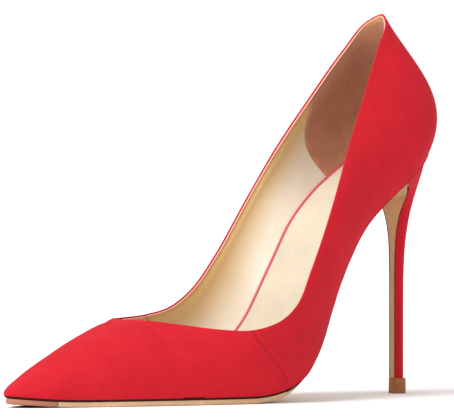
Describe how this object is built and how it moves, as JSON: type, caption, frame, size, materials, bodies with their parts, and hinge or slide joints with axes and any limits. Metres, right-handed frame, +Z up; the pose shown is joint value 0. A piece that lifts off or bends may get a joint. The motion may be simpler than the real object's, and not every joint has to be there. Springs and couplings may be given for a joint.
{
  "type": "high heel pump",
  "caption": "Left court shoe with a pointed toe, a low cut topline and a slender high heel, built in layers and bending at the ball.",
  "frame": {"origin": "middle of the box's length and width, on the floor under the shoe", "axes": "toe towards -Y and heel towards +Y, +X towards the wearer's left, +Z up"},
  "size_m": [0.0784, 0.2151, 0.154],
  "materials": {
    "suede_upper": "red suede with a short, soft nap",
    "suede_heel": "red suede stretched over the heel",
    "stiffener": "thermoplastic stiffener sheet",
    "backing": "woven backing cloth",
    "lining_leather": "smooth cream leather with a soft sheen",
    "grip_suede": "brown suede",
    "board": "pressed fibreboard",
    "foam": "thin latex foam",
    "filler": "felt filler",
    "sock_leather": "smooth cream leather",
    "binding": "red edge binding",
    "sole_leather": "smooth natural sole leather",
    "toe_leather": "darker leather toe end",
    "heel_plastic": "moulded plastic",
    "steel": "plain steel",
    "top_piece_plastic": "brown hard-wearing plastic"
  },
  "bodies": {
    "forepart": {"vamp": "suede_upper", "toe_puff": "stiffener", "vamp_backing": "backing", "vamp_lining": "lining_leather", "forefoot_pad": "foam", "bottom_filler": "filler", "outsole": "sole_leather", "sole_toe_piece": "toe_leather"},
    "rear_part": {"quarter_lateral": "suede_upper", "quarter_medial": "suede_upper", "heel_counter": "stiffener", "quarter_lining_lateral": "lining_leather", "quarter_lining_medial": "lining_leather", "heel_grip": "grip_suede", "topline_tape": "backing", "insole_board": "board", "shank_board": "board", "shank_spring": "steel", "shank_rivets": "steel", "sock_padding": "foam", "sock_lining": "sock_leather", "sock_binding": "binding", "breast_cover": "sole_leather", "heel_block": "heel_plastic", "heel_cover": "suede_heel", "heel_dowel": "steel", "heel_screw": "steel", "heel_nails": "steel", "top_piece": "top_piece_plastic", "top_piece_pin": "steel"}
  },
  "joints": [
    {"name": "ball_flex", "type": "hinge", "parent": "forepart", "child": "rear_part", "pos_m": [0, -0.0144, 0.0034], "axis": [1, 0, 0], "range_deg": [0, 25], "stiffness_Nm_per_rad": 4, "deforming": ["vamp", "quarter_lateral", "quarter_medial", "vamp_backing", "vamp_lining", "quarter_lining_lateral", "quarter_lining_medial", "insole_board", "forefoot_pad", "sock_padding", "sock_lining", "sock_binding", "outsole", "bottom_filler", "topline_tape"]}
  ]
}
